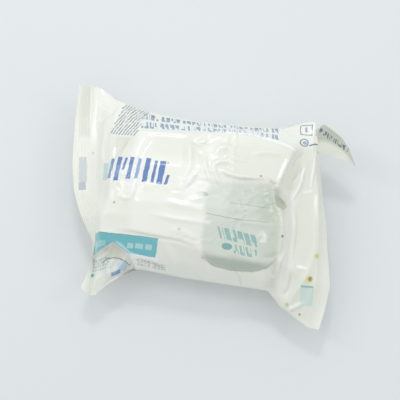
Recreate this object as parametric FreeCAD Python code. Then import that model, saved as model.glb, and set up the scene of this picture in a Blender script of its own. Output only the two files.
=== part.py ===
import FreeCAD, Part
import math
import os

# A water filter cartridge sealed in its film wrap, lying on its back.
# The wrap is one closed tube of film: flat crimped seals at the left and right ends,
# a long seal folded down along the back, and folds pressed in over the cartridge inside.
# Stiff film creases into flat facets, so the film is built as facets between its fold lines.
# X runs along the tube, Y across it, Z out of the printed front. The rest face is at Z = 0.
# Millimetres.

# Sizes
film = 0.6             # two layers of film pressed together, drawn thick enough to hold
back_depth = 30.0      # from the end seals down to the back of the wrap, before it is pressed flat
crimp_rib = 0.7        # height of a crimp rib, from valley to crest
crimp_lines = 8        # half ribs across each end seal, about 1.1 mm each
back_seal_step = 1.2   # the long seal stands this far out of the back
side_roundness = 0.6   # below 1 the film leaves its sides more steeply
back_squareness = 3.2  # 2 is an oval back, more is boxier
wrap_crispness = 5     # from 2, soft folds, upwards
corner_crispness = 14

# The tube is flat at its two ends: where it begins to open, and where it is fully open
left_opens, left_full = -84.0, -58.0
right_full, right_opens = 42.0, 82.0

# Long fold lines of the front, each from the left cut edge to the right cut edge.
# The eleven stations are: cut edge, crimp edge, where the film opens, left shoulder,
# three along the body, right shoulder, foot of the drop, panel ridge, cut edge.
bottom_side = [(-80.5, -66.5, 25), (-72.5, -71, 26), (-70, -70.5, 26), (-60, -60, 26), (-43, -49, 25),
               (-13, -52, 25), (20, -53.5, 25), (50, -55, 25), (59, -65, 25), (80, -77, 23), (88, -78, 23)]
lower_face = [(-75.2, -48, 22), (-72.5, -48.5, 24), (-70.5, -48, 27), (-65, -46, 33), (-44, -40, 44),
              (-13.5, -43, 43), (20, -48, 38), (52, -48, 36), (60, -54, 31), (81, -63, 27), (91, -63, 23)]
lower_fold = [(-76, -33, 23), (-74, -33, 27), (-73, -32, 34), (-70, -29, 46), (-45, -26, 55),
              (-14, -29.5, 54.5), (20, -39, 50), (54, -36, 45), (61, -38, 37), (82, -47, 32), (93, -47, 24)]
ledge_foot = [(-86, -16, 28), (-77.5, -16, 29), (-75, -17, 33), (-70, -16, 49), (-45, -14, 57),
              (-14, -15, 58.5), (20, -13.5, 58), (55, -12, 49), (61, -12, 39), (81, -17, 35), (88, -18, 26)]
ledge_top = [(-92, -1, 28), (-81, -1, 29), (-76, -1, 32), (-66, -6, 50), (-45, -5.5, 58.5),
             (-14, -5.5, 60), (20, -5, 59.5), (52, 2, 50), (59, 3, 40), (80, -3, 36), (86, -4, 27)]
mid_front = [(-96, 20, 28), (-83.5, 20, 29), (-78, 20, 32), (-67, 19, 50), (-45, 20, 57),
             (-14, 21, 59), (20, 19, 59), (48, 17, 53), (58, 15, 41), (78, 14, 37), (82, 13, 28)]
upper_fold = [(-97.5, 50, 28), (-87, 50, 29), (-80, 48, 31), (-69, 40, 45), (-45, 43.5, 50),
              (-13, 46, 51), (20, 49.5, 51), (57, 45, 49), (65, 44, 44), (71, 43, 41), (76, 39, 36)]
top_side = [(-98, 77, 28), (-89, 76.5, 29), (-83, 75.5, 30), (-70, 68.5, 30), (-45, 62, 29),
            (-13, 59, 28), (20, 59, 28), (50, 60.5, 30), (62, 64.5, 34), (70.5, 65.5, 38), (74.5, 48, 39)]
guides = [bottom_side, lower_face, lower_fold, ledge_foot, ledge_top, mid_front, upper_fold, top_side]

# How finely the film is divided, between guides and between stations
row_steps = [5, 5, 6, 3, 7, 8, 6]
station_steps = [crimp_lines, 3, 4, 6, 8, 9, 8, 4, 7, crimp_lines]
back_seal_rows = (20, 23)
back_seal_edge = 0.85  # share of a row's width by which the row beside the seal is drawn up to it
back_seal_groove = 1.0  # the back lifts this far off the shelf beside the seal

# Creases of the front: points along it, height (minus for a valley), half width
creases = [
    ([(-66, 64), (-69, 45), (-67, 22), (-65, 0), (-70, -13)], 0.8, 4.0),
    ([(-74, 45), (-75, 30), (-73, 20)], 1.5, 3.5),
    ([(-67, 65), (-77, 50)], -0.7, 4.0),
    ([(-57, 38), (-63, 21)], -1.2, 5.5),
    ([(-45, 41), (-51, 25)], 1.6, 5.0),
    ([(-59, 8), (-49, -3)], 1.5, 4.0),
    ([(-15, 40), (-13, 22), (-17, 3)], 1.2, 4.0),
    ([(-7, 20), (-15, 6)], 1.2, 3.5),
    ([(-4, 29), (3, 11)], 1.1, 3.0),
    ([(2, 26), (9, 9)], 1.1, 3.0),
    ([(3, 23), (9, 28), (21, 24)], 1.2, 3.0),
    ([(8, 22), (20, 18), (32, 19)], 1.4, 3.0),
    ([(18, 16), (42, 19)], -1.1, 3.0),
    ([(28, 35), (49, 38)], 0.8, 4.0),
    ([(55, 37), (48, 15)], 1.1, 4.0),
    ([(64, 37), (57, 19)], -1.5, 4.5),
    ([(65, 31), (63, 15), (59, 9)], 2.0, 3.5),
    ([(73, 45), (72, 19)], 1.8, 3.5),
    ([(63, 5), (65, -34)], -0.8, 6.5),
    ([(79, -24), (65, -62)], 1.0, 5.0),
    ([(64, -68), (76, -60)], 1.3, 3.5),
    ([(60, -58), (64, -41)], -1.0, 3.5),
    ([(58, -27), (54, -45)], 1.4, 3.5),
    ([(-27, -4), (-3, -6)], 0.9, 3.0),
    ([(-36, -13), (2, -15)], 0.8, 3.0),
    ([(-61, -26), (-31, -28), (-2, -32)], -0.8, 3.0),
    ([(-26, -31), (-15, -49)], 0.8, 4.5),
    ([(-2, -32), (10, -52)], 0.9, 4.5),
    ([(-59, -33), (-48, -41), (-38, -42)], 1.6, 3.5),
    ([(-60, -44), (-61, -58)], 1.5, 4.0),
    ([(-51, -43), (-59, -55)], 1.3, 3.5),
    ([(-57, 61), (-63, 44)], 1.4, 4.0),
    ([(-45, 60), (-51, 45)], 1.2, 4.0),
    ([(2, 49), (26, 51), (58, 42)], 1.0, 3.5),
    ([(46, 13), (55, 2)], -2.6, 5.0),
]
crease_ends = 0.35     # share of its height that a crease keeps at its ends

# Tuck at the lower left: the corner is pushed in under this edge, from left to right
tuck_edge = [(-76, -44), (-60, -34), (-48, -41), (-38, -58)]
tuck_depth = 6.5
tuck_lip = 3.0         # width of the slope under the edge
tuck_shallows = (5.0, 16.0)
tuck_far_share = 0.25  # share of the depth that is left beyond the shallows

# Folded corner at the upper right, from its root inside the wrap out to its tip
corner_lower = [(66, 44.5, 36), (73, 44.7, 39), (79, 43, 39), (84.5, 42, 38.5), (90.5, 41, 37.5),
                (95.7, 40, 36), (101.5, 38.6, 32)]
corner_fold = [(64.5, 50, 36), (71, 51, 38), (76.7, 53, 37), (83, 52.3, 37), (89.5, 49.5, 36.5),
               (95.3, 45, 35.5), (101.7, 39, 32.3)]
corner_upper = [(65, 59, 34), (72.4, 60, 39), (76.6, 63.8, 42), (83, 59.5, 44), (90, 55, 43),
                (95.7, 49, 40), (101.9, 39.5, 33)]


def between(a, b, share):
    return tuple(p + (q - p) * share for p, q in zip(a, b))


def divided(points, steps):
    """The same line with each of its stretches cut into equal steps."""
    out = [points[0]]
    for a, b, count in zip(points, points[1:], steps):
        out += [between(a, b, (i + 1) / count) for i in range(count)]
    return out


def smoothed(line, crispness):
    """The line with each inner point drawn towards its neighbours, the less the crisper it is."""
    inner = [
        tuple((p + crispness * q + r) / (crispness + 2) for p, q, r in zip(*three))
        for three in zip(line, line[1:], line[2:])
    ]
    return [line[0], *inner, line[-1]]


def turned(net):
    return [list(line) for line in zip(*net)]


def fill_net(lines, along, across, crispness):
    """A fine net of points from a few guide lines, rounded a little at every fold."""
    fine = turned([divided(line, along) for line in lines])
    fine = [smoothed(divided(line, across), crispness) for line in fine]
    return [smoothed(line, crispness) for line in turned(fine)]


def ramp(value, low, high):
    return min(1.0, max(0.0, (value - low) / (high - low)))


def soft(value, low, high):
    share = ramp(value, low, high)
    return share * share * (3 - 2 * share)


def distance(point, start, end):
    """How far a point is from a line, and how far along the line, from 0 to 1."""
    dx, dy = end[0] - start[0], end[1] - start[1]
    share = ((point[0] - start[0]) * dx + (point[1] - start[1]) * dy) / (dx * dx + dy * dy)
    share = min(1.0, max(0.0, share))
    near = (start[0] + share * dx, start[1] + share * dy)
    return math.dist(point, near), share


def crease_height(point):
    total = 0.0
    for points, height, half in creases:
        stretches = [distance(point, start, end) for start, end in zip(points, points[1:])]
        away, share = min(stretches)
        along = (stretches.index((away, share)) + share) / len(stretches)
        total += height * max(0.0, 1 - away / half) * min(1.0, crease_ends + 4 * along * (1 - along))
    return total


def side_of(point, start, end):
    """Distance to the right of the line from start to end, in mm."""
    dx, dy = end[0] - start[0], end[1] - start[1]
    return ((point[0] - start[0]) * dy - (point[1] - start[1]) * dx) / math.hypot(dx, dy)


def tuck_drop(point):
    """The corner film lies deeper inside the tuck, most of all along its edge."""
    inside = min(side_of(point, *leg) for leg in zip(tuck_edge, tuck_edge[1:]))
    shallow = (1 - tuck_far_share) * ramp(inside, *tuck_shallows)
    return tuck_depth * soft(inside, 0.0, tuck_lip) * (1 - shallow)


def rib(column):
    """Crimp ribs run along each end seal, so they alternate from line to line across it."""
    last = sum(station_steps)
    in_crimp = 0 < column < crimp_lines or last - crimp_lines < column < last
    return crimp_rib / 2 * (-1) ** column if in_crimp else 0.0


def wrap_nets():
    """The front and the back of the wrap, over the same points in plan."""
    net = fill_net(guides, station_steps, row_steps, wrap_crispness)
    last_row, last_column = len(net) - 1, len(net[0]) - 1
    front, back = [], []
    for row, line in enumerate(net):
        front_line, back_line = [], []
        for column, (x, y, z) in enumerate(line):
            low, high = net[0][column], net[last_row][column]
            on_edge = row in (0, last_row) or column in (0, last_column)
            opening = ramp(x, left_opens, left_full) * (1 - ramp(x, right_full, right_opens))
            across = min(1.0, abs(2 * (y - low[1]) / (high[1] - low[1]) - 1))
            top = z if on_edge else z + crease_height((x, y)) - tuck_drop((x, y))
            outer = min(row / row_steps[0], (last_row - row) / row_steps[-1])
            if 0 < outer < 1:
                side, fold = (low, net[row_steps[0]][column]) if row < last_row / 2 else (
                    high, net[last_row - row_steps[-1]][column])
                top += opening * (fold[2] - side[2]) * (outer**side_roundness - outer)
            middle = low[2] + (high[2] - low[2]) * row / last_row
            bottom = middle - back_depth * opening * math.sqrt(1 - across**back_squareness)
            back_y, lift = y, 0.0
            if back_seal_rows[0] <= row <= back_seal_rows[1]:
                bottom -= back_seal_step
            elif row + 1 == back_seal_rows[0] or row - 1 == back_seal_rows[1]:
                seal_row = min(max(row, back_seal_rows[0]), back_seal_rows[1])
                back_y += opening * back_seal_edge * (net[seal_row][column][1] - y)
                lift = back_seal_groove * opening
            bottom = top - film if on_edge else min(top - film, max(0.0, bottom) + lift)
            front_line.append((x, y, top + rib(column)))
            back_line.append((x, back_y, bottom + rib(column)))
        front.append(front_line)
        back.append(back_line)
    return front, back


def facets(net):
    """Flat triangles over a net, each square folded along the diagonal that bends it less."""
    faces = []
    for lower, upper in zip(net, net[1:]):
        for a, b, c, d in zip(lower, lower[1:], upper[1:], upper):
            along_ac = abs(a[2] - c[2]) <= abs(b[2] - d[2])
            halves = [(a, b, c), (a, c, d)] if along_ac else [(a, b, d), (b, c, d)]
            for half in halves:
                corners = [FreeCAD.Vector(*p) for p in half]
                faces.append(Part.Face(Part.makePolygon([*corners, corners[0]])))
    return faces


def film_solid(front, back):
    """A closed body from the nets of its two sides, with a narrow edge all round."""
    front_sides, back_sides = turned(front), turned(back)
    faces = facets(front) + facets(back)
    for strip in (
        [front[0], back[0]],
        [front[-1], back[-1]],
        [front_sides[0], back_sides[0]],
        [front_sides[-1], back_sides[-1]],
    ):
        faces += facets(strip)
    shell = Part.Shell(faces)
    shell.sewShape()
    body = Part.Solid(Part.Shell(shell.Faces))
    if body.Volume < 0:
        body.reverse()
    return body


def folded_corner():
    net = fill_net([corner_lower, corner_fold, corner_upper], [2] * 6, [3, 3], corner_crispness)
    under = [[(x, y, z - film) for x, y, z in line] for line in net]
    return film_solid(net, under)


pouch = film_solid(*wrap_nets()).fuse(folded_corner())

print("solids", len(pouch.Solids), "valid", pouch.isValid(), "volume", round(pouch.Volume / 1000, 1), "cm3")
box = pouch.BoundBox
print("size", round(box.XLength, 1), round(box.YLength, 1), round(box.ZLength, 1))

os.makedirs("parts", exist_ok=True)
pouch.Solids[0].exportStep("parts/sealed_pouch.step")
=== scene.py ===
import math

import bpy
import numpy as np
from bpy.props import FloatProperty, FloatVectorProperty, IntProperty, PointerProperty
from mathutils import Matrix, Vector


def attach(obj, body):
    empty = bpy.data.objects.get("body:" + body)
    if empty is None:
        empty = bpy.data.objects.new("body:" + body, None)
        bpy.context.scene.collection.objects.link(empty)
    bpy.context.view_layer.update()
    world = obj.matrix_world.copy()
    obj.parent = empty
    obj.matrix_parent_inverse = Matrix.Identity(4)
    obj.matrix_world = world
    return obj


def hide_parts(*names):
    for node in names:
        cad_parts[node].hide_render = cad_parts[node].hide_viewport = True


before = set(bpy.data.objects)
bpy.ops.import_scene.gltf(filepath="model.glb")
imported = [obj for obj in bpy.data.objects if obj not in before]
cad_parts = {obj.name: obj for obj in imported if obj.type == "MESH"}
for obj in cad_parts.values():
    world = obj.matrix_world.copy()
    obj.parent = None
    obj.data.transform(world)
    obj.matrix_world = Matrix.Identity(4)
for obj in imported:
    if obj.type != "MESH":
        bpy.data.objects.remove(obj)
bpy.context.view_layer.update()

bl_info = {
    "name": "Film-wrapped filter cartridge",
    "version": (1, 0, 0),
    "blender": (4, 5, 0),
    "location": "3D View > Sidebar > Filter wrap",
    "description": "Dresses the sealed film wrap of a filter cartridge: its folds, seals and print",
    "category": "Object",
}

MM = 0.001
NODE = "sealed_pouch"
FILM_NAME = "Pearl white printed film"

# Where the back of the film starts in film coordinates, beyond the reach of the print
BACK_PRINT = 400

# Long fold lines of the front in millimetres, each from the left cut edge to the right one.
# The stations are: cut edge, crimp edge, where the film opens, left shoulder, three along the
# body, right shoulder, foot of the drop, panel ridge, cut edge.
BOTTOM_SIDE = [(-80.5, -66.5, 25), (-72.5, -71, 26), (-70, -70.5, 26), (-60, -60, 26), (-43, -49, 25),
               (-13, -52, 25), (20, -53.5, 25), (50, -55, 25), (59, -65, 25), (80, -77, 23), (88, -78, 23)]
LOWER_FACE = [(-75.2, -48, 22), (-72.5, -48.5, 24), (-70.5, -48, 27), (-65, -46, 33), (-44, -40, 44),
              (-13.5, -43, 43), (20, -48, 38), (52, -48, 36), (60, -54, 31), (81, -63, 27), (91, -63, 23)]
LOWER_FOLD = [(-76, -33, 23), (-74, -33, 27), (-73, -32, 34), (-70, -29, 46), (-45, -26, 55),
              (-14, -29.5, 54.5), (20, -39, 50), (54, -36, 45), (61, -38, 37), (82, -47, 32), (93, -47, 24)]
LEDGE_FOOT = [(-86, -16, 28), (-77.5, -16, 29), (-75, -17, 33), (-70, -16, 49), (-45, -14, 57),
              (-14, -15, 58.5), (20, -13.5, 58), (55, -12, 49), (61, -12, 39), (81, -17, 35), (88, -18, 26)]
LEDGE_TOP = [(-92, -1, 28), (-81, -1, 29), (-76, -1, 32), (-66, -6, 50), (-45, -5.5, 58.5),
             (-14, -5.5, 60), (20, -5, 59.5), (52, 2, 50), (59, 3, 40), (80, -3, 36), (86, -4, 27)]
MID_FRONT = [(-96, 20, 28), (-83.5, 20, 29), (-78, 20, 32), (-67, 19, 50), (-45, 20, 57),
             (-14, 21, 59), (20, 19, 59), (48, 17, 53), (58, 15, 41), (78, 14, 37), (82, 13, 28)]
UPPER_FOLD = [(-97.5, 50, 28), (-87, 50, 29), (-80, 48, 31), (-69, 40, 45), (-45, 43.5, 50),
              (-13, 46, 51), (20, 49.5, 51), (57, 45, 49), (65, 44, 44), (71, 43, 41), (76, 39, 36)]
TOP_SIDE = [(-98, 77, 28), (-89, 76.5, 29), (-83, 75.5, 30), (-70, 68.5, 30), (-45, 62, 29),
            (-13, 59, 28), (20, 59, 28), (50, 60.5, 30), (62, 64.5, 34), (70.5, 65.5, 38), (74.5, 48, 39)]
GUIDES = [BOTTOM_SIDE, LOWER_FACE, LOWER_FOLD, LEDGE_FOOT, LEDGE_TOP, MID_FRONT, UPPER_FOLD, TOP_SIDE]

# Mesh lines between guides and between stations, about 1.2 mm apart and finer in the crimps
ROWS = [16, 18, 20, 15, 34, 34, 28]
COLUMNS = [20, 8, 14, 32, 40, 42, 38, 16, 28, 24]
BODY_SMOOTHING = 40

# Mesh lines between which the long seal runs down the back, and the width of its groove in lines
SEAL_ROWS = (74, 88)
GROOVE_ROWS = 5

# How much of the crimp ribs' height shows on the left seal and on the right one
RIBS_LEFT, RIBS_RIGHT = 1.0, 0.4

# Creases of the front: name, points along it, height (minus for a valley), half width left and right
CREASES = [
    ("left shoulder edge",
     [(-65.5, 64.1), (-68.3, 51.7), (-68.8, 38.1), (-67.6, 22), (-65.6, 4.7), (-65.8, -5.1),
      (-68.6, -10.9), (-72.8, -16.2)], 0.7, 3, 4),
    ("bright streak",
     [(-73.7, 45.7), (-74.4, 39.9), (-75, 32.7), (-74.9, 25.6), (-72.7, 19.4)], 1.7, 2.2, 3),
    ("second soft fold of slope", [(-81.8, 71.2), (-80.8, 56.8), (-80, 44)], 0.5, 3, 3),
    ("facet lower edge", [(-66.9, 64.8), (-70.9, 56.5), (-76.7, 51.5), (-78.1, 45.6)], -0.5, 5, 4),
    ("body left valley", [(-57.2, 37.7), (-60.4, 29.7), (-62.8, 21.1)], -0.9, 7, 5.5),
    ("highlight band", [(-44.5, 41), (-48.5, 34.3), (-50.5, 27.8), (-50.6, 22.2)], 2, 5.5, 7),
    ("glint fold", [(-49.1, 9.6), (-49.6, 2.6), (-50.3, -3.6)], 1.9, 2.5, 7),
    ("glint foot", [(-58.5, -3.1), (-54.3, -4.1), (-49, -2.8)], 1, 2, 2.5),
    ("fold under strokes", [(-47.4, 7), (-38.4, 5.2), (-27.7, 7.7)], 0.5, 3, 5),
    ("long vertical",
     [(-15.5, 39.5), (-14.1, 32.7), (-13, 22.4), (-15.6, 15.2), (-17.1, 3.3)], 1.3, 3.5, 5),
    ("bright facet top", [(-6.6, 20.1), (-10.7, 13.5), (-15.3, 6.1)], 1.6, 2.5, 6),
    ("bright facet foot", [(-0.6, 2.2), (-6.5, -0.5), (-12.4, -2.5)], 1.1, 3.5, 2),
    ("line a", [(-4.2, 29.4), (-1.9, 21.3), (2.6, 10.8)], 1.5, 1.8, 2.3),
    ("line b", [(1.7, 25.9), (4.5, 17.9), (9.5, 9.4)], 1.5, 1.8, 2.3),
    ("short top fold", [(-14.7, 38.4), (-7.7, 37.7), (0.3, 40)], -0.6, 2.5, 2),
    ("arc upper", [(2.6, 30.3), (5.3, 36.9), (11.4, 38.2), (17.1, 35.3)], 1.2, 3.2, 3.6),
    ("arc mid", [(2.6, 23.2), (5.7, 27), (12.3, 28.4), (20.9, 24.4)], 1.5, 2.8, 3),
    ("arc small", [(7.4, 29.9), (11.9, 32.5), (18.3, 30.4), (23.8, 29.6)], 1.4, 2, 2.2),
    ("arc low ridge", [(8.2, 21.7), (14.6, 18.9), (21.6, 17.6), (32.4, 18.8)], 1.6, 3.4, 2.6),
    ("crease below", [(17.7, 16), (29.9, 16.6), (42, 18.6)], -0.7, 1.8, 2.6),
    ("faint right", [(28.1, 35.3), (36.8, 38.3), (49.1, 38.2)], 0.9, 2.5, 3.5),
    ("short dark marks", [(41.6, 18.3), (44.5, 16.6), (47.2, 16.2)], -1.2, 1.5, 1.5),
    ("ridge beside band", [(55.2, 37.2), (51.4, 27), (47.7, 14.8)], 1.2, 3, 2.5),
    ("band valley a", [(63.7, 42.1), (59.4, 36), (56, 27.1)], -0.6, 3, 4),
    ("band valley b", [(64.7, 31.8), (61.1, 25.7), (57.6, 19)], -0.8, 2.6, 3),
    ("panel ridge a", [(65.5, 31.1), (64.9, 22.6), (62.8, 15.3), (59.2, 8.7)], 1.3, 1.6, 2.4),
    ("panel ridge b", [(72.7, 44.8), (72.8, 36.3), (72.2, 27.8), (71.5, 19.3)], 1.1, 1.4, 2),
    ("panel short", [(67.2, 13.9), (69.7, 16.2), (72.6, 15.8)], 0.6, 1.5, 1.5),
    ("panel edge line", [(73.4, 18.7), (75.8, -0.1), (78.4, -20.8), (78.1, -32.7)], 0.5, 4, 3),
    ("panel inner valley", [(62.6, 5.2), (64.9, -12), (64.2, -34.3)], -0.8, 7, 6),
    ("panel facet line", [(79.1, -23.8), (74.5, -41.8), (69.2, -52.1), (64.6, -62.2)], 1, 5, 4),
    ("panel low fold", [(63.9, -67.7), (69.1, -64.4), (75.7, -60.3)], 1.5, 2, 2.5),
    ("panel low fold 2", [(60.2, -57.7), (63.1, -51.9), (64.1, -40.6)], -1.1, 3, 3),
    ("panel small glint", [(67.5, -36.4), (70.4, -37.5), (73.9, -37.1)], 1.1, 1.5, 2),
    ("panel foot corner", [(74.1, -71.4), (77.8, -58.6), (80.3, -47.8)], 0.4, 2.5, 2.5),
    ("right body edge", [(51.9, -2.4), (53.6, -13.3), (54, -24.9), (51.5, -34)], 0.5, 3, 3),
    ("box corner a", [(58, -27.5), (54.7, -36), (53.5, -45.1)], 1.5, 2, 2.2),
    ("box corner b", [(46.9, -39.5), (49.6, -46.1), (54.4, -46.3)], 0.6, 2, 1.5),
    ("low right triangle", [(36.8, -23.4), (40.4, -18.2), (44.1, -21.2), (43.8, -25.4)], 1.1, 2, 2.2),
    ("valley right low", [(41.9, -33.7), (48.7, -32.9), (53.1, -29.7)], -0.9, 3, 3),
    ("ledge upper",
     [(-27.2, -3.5), (-22.3, -4.4), (-16.8, -5.5), (-10, -5.5), (-3.1, -6.5)], 0.7, 3, 4),
    ("ledge valley", [(-67.6, -11.8), (-43.3, -10.6), (-26.5, -9.5)], -0.1, 4, 5.5),
    ("ledge lower", [(-36.3, -13.3), (-21.2, -15.1), (-9, -15.1), (1.9, -15.4)], 0.7, 3.5, 3),
    ("low band line", [(-21.7, -22.5), (-11.5, -23.5), (-0.9, -27.8)], 0.5, 3, 3),
    ("lower crease",
     [(-60.7, -26.4), (-48.5, -26.5), (-31.3, -28.1), (-15.6, -29.1), (-2.4, -32.5)], -0.9, 2, 2.5),
    ("lower face a", [(-25.7, -31.5), (-18.7, -39), (-14.9, -48.9)], 0.8, 4, 5),
    ("lower face b", [(-1.7, -32.4), (5.4, -41.2), (9.9, -51.7)], 0.9, 4, 5),
    ("lower face c", [(22.6, -42), (28.7, -48.2), (31.4, -54.8)], -0.7, 4, 5),
    ("lower face d", [(-39.9, -45.8), (-32.7, -49.2), (-27, -51.3)], 0.8, 2.5, 2),
    ("tuck lip left", [(-60.4, -33.7), (-63.7, -40.2), (-67.4, -44), (-72.6, -46)], 1.5, 2, 1.5),
    ("tuck lip right", [(-59, -33.5), (-53.2, -36.4), (-48, -40.6), (-38.2, -42.3)], 1.8, 1.5, 2.2),
    ("fin fold low", [(-75.1, -30.1), (-71.5, -36.7), (-73.5, -44)], 0.8, 2, 2),
    ("wedge fold a", [(-59.9, -43.5), (-62.5, -50.8), (-60.9, -58.4)], 1.6, 3.2, 2.2),
    ("wedge fold b", [(-50.9, -42.6), (-54.4, -48.6), (-59.2, -55.4)], 1.4, 2.5, 2.5),
    ("wedge fold c", [(-68.6, -47.2), (-70.2, -57.2), (-71.9, -67.1)], 0.8, 3, 3),
    ("wedge fold d", [(-45.7, -44.9), (-48.8, -48), (-52.5, -52.6)], -0.8, 2, 2),
    ("top-side fold a", [(-57.1, 61.4), (-60.5, 53.8), (-62.8, 43.6)], 1.5, 2.5, 3.5),
    ("top-side fold b", [(-45, 59.8), (-49.8, 52.8), (-51.1, 45.5)], 1.3, 2.5, 4),
    ("top-side fold c", [(-5.9, 54.9), (-3.8, 48), (0.8, 44.3)], 0.7, 3, 3),
    ("top ridge light",
     [(1.5, 48.7), (15.1, 50.8), (26.1, 51.3), (33.8, 50), (43.8, 46.9), (51.6, 44.9),
      (58, 42.1)], 1, 3, 2.2),
    ("top ridge left", [(-54.9, 41.2), (-46.2, 43.5), (-32.5, 44.3), (-15.3, 44)], 0.6, 2.5, 2.5),
    ("top right fold", [(47, 57.8), (53.1, 52.7), (60.4, 49.9)], 0.7, 2, 3),
    ("gather", [(46.5, 13.2), (50.5, 7.4), (55.1, 1.7)], -1.5, 4, 4),
    ("gather lip", [(44.4, 13.7), (46.5, 5.6), (49.3, -1.7)], 0.6, 2, 2.5),
    ("gather hem", [(52.9, 13.7), (56.1, 8.4), (59.3, 3.9)], 0.7, 2.5, 2),
    ("lower thin crease", [(-43.3, -42.9), (-33.4, -44.6), (-22.1, -47.6)], -1.2, 1.4, 1.8),
    ("tuck shoulder", [(-48.3, -41.4), (-44.3, -45.8), (-41, -50.3)], 1.4, 1.8, 2),
]

# Creases of the back and its steep sides, likewise, but x in millimetres and then the mesh line
BACK_CREASES = [
    ("upper left corner fold", [(-76, 160), (-64, 152), (-54, 138), (-50, 122)], 1.8, 3, 5),
    ("upper left long fold", [(-62, 163), (-44, 157), (-20, 155)], 1.3, 2.5, 4),
    ("upper dent", [(-30, 161), (-8, 158), (14, 160)], -1, 3, 3),
    ("upper right long fold", [(54, 163), (36, 157), (8, 154)], 1.3, 2.5, 4),
    ("upper right corner fold", [(68, 162), (62, 150), (52, 138), (48, 124)], 1.8, 3, 5),
    ("upper right short fold", [(58, 158), (48, 150), (30, 148)], -1, 3, 3),
    ("lower left corner fold", [(-68, 4), (-60, 14), (-52, 28), (-48, 42)], 1.6, 3, 5),
    ("lower long fold", [(-50, 3), (-26, 9), (4, 11)], 1.2, 2.5, 4),
    ("lower dent", [(54, 4), (30, 9), (10, 8)], -1, 3, 3),
    ("lower right corner fold", [(70, 3), (62, 14), (52, 28), (48, 40)], 1.8, 3, 5),
    ("left end fold", [(-80, 104), (-68, 100), (-57, 108)], 1.3, 4, 4),
    ("left end dent", [(-78, 52), (-66, 58), (-56, 54)], -1, 4, 4),
    ("right end fold", [(84, 98), (68, 104), (55, 100)], 1.3, 4, 4),
    ("right end low fold", [(88, 44), (70, 52), (56, 50)], 1.2, 4, 4),
]

# What a crease keeps of its height at its ends, and the crease height at which its painted highlight, for a
# valley its painted shade, is full
CREASE_END, FULL_RIDGE = 0.15, 1.6

# Where the film opens from flat at the left and is fully open, and likewise at the right
LEFT_OPENS, RIGHT_OPENS = (-84, -58), (42, 82)

# From the end seals down to the back before it is pressed flat, and how boxy the back is
BACK_DEPTH, BACK_SQUARENESS = 30.0, 3.2

# Below 1 the film leaves its sides more steeply
SIDE_ROUNDNESS = 0.6

# The least that is left between front and back
FILM_GAP = 0.25

# The simulation: how free the film is of its start, in how many levels, and its steps
FREEDOM, HOLD_LEVELS, SETTLE_STEPS = 0.88, 40, 10

# One unit of the film's UV map, in millimetres of flat film
UV_UNIT = 100

# Edge of the tuck at the lower left, from left to right, and a mark for film far from any tuck
TUCK = [(-76, -44), (-60, -34), (-48, -41), (-38, -58)]
UNTUCKED = -50

# From that edge: where its lip slopes down, where the tuck grows shallow, and its depth beyond
TUCK_LIP, TUCK_SHALLOWS, TUCK_FAR_SHARE = (-0.3, 1.5), (5, 16), 0.25

# Folded corner at the upper right, from its root inside the wrap out to its tip
CORNER_LOWER = [(66, 44.5, 36), (73, 44.7, 39), (79, 43, 39), (84.5, 42, 38.5), (90.5, 41, 37.5),
                (95.7, 40, 36), (102, 38.7, 32)]
CORNER_FOLD = [(64.5, 50, 36), (71, 51, 38), (76.7, 53, 37), (83, 52.3, 37), (89.5, 49.5, 36.5),
               (95.3, 45, 35.5), (102, 38.8, 32.3)]
CORNER_UPPER = [(65, 59, 34), (72.4, 60, 39), (76.6, 63.8, 42), (83, 59.5, 44), (90, 55, 43), (95.7, 49, 40),
                (102, 39, 33)]

# How much painted shade darkens the underside of the folded corner
CORNER_UNDER_SHADE = 0.5

# The view: where it looks, and how the camera leans
AIM = (-3.5, 3.5, 30.0)
CAMERA_TILT = math.radians(8)
CAMERA_ROLL = math.radians(6)

# How the room's light grows towards the right, the top and overhead
ROOM_LIGHT = (-0.03, 0.13, 0.34)

# Softboxes: name, place, width and height in millimetres, share of the key light's power
SOFTBOXES = [
    ("key_softbox", (-100, 520, 780), 180, 110, 1.0),
    ("left_strip", (-480, 120, 740), 70, 200, 0.27),
    ("low_left_strip", (-665, 204, 618), 60, 160, 0.27),
    ("right_strip", (600, 120, 650), 60, 200, 0.27),
]


def linear(hex_colour):
    """An sRGB hex colour as linear RGBA."""
    parts = [int(hex_colour[i:i + 2], 16) / 255 for i in (1, 3, 5)]
    return (*[c / 12.92 if c <= 0.04045 else ((c + 0.055) / 1.055) ** 2.4 for c in parts], 1.0)


def length(name, description, default, low, high):
    """A length given in millimetres and kept in metres."""
    return FloatProperty(name=name, description=description, default=default * MM,
                         min=low * MM, max=high * MM, unit="LENGTH", precision=5)


class FilterWrapSizes(bpy.types.PropertyGroup):
    """Sizes of the film wrap that are worth changing."""
    rib_height: length("Crimp rib height", "Height of the crimp ribs along the end seals", 0.6, 0, 1.5)
    crimp_ribs: IntProperty(
        name="Crimp ribs", description="Number of ribs across each end seal", default=5, min=2, max=9)
    tuck_depth: length(
        "Tuck depth", "How far the lower left corner is pushed in under its edge", 6.5, 0, 9)
    seal_step: length("Back seal step", "How far the long seal stands out of the back", 1.2, 0, 2)
    seal_groove: length(
        "Groove beside back seal", "How far the back lifts off the shelf beside its seal", 1, 0, 2)
    growth: FloatProperty(
        name="Film growth", description="How much the film grows in the simulation, which crumples it",
        default=0.6, min=0.0, max=2.0, subtype="PERCENTAGE")
    most_moved: length(
        "Most movement", "The furthest that the simulation may move a point of the film", 2.4, 0, 4)
    # Half width of the painted highlight along a ridge and of the painted shade along a valley
    crease_line: length(
        "Crease line", "Half width of the pale or dull line along a hard crease", 1.3, 0.5, 3)
    corner_gauge: length(
        "Folded corner thickness", "Thickness of the doubled film of the folded corner", 0.3, 0.1, 0.6)


def colour(name, description, hex_colour):
    return FloatVectorProperty(
        name=name, description=description, default=linear(hex_colour), size=4, min=0.0, max=1.0,
        subtype="COLOR")


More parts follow.
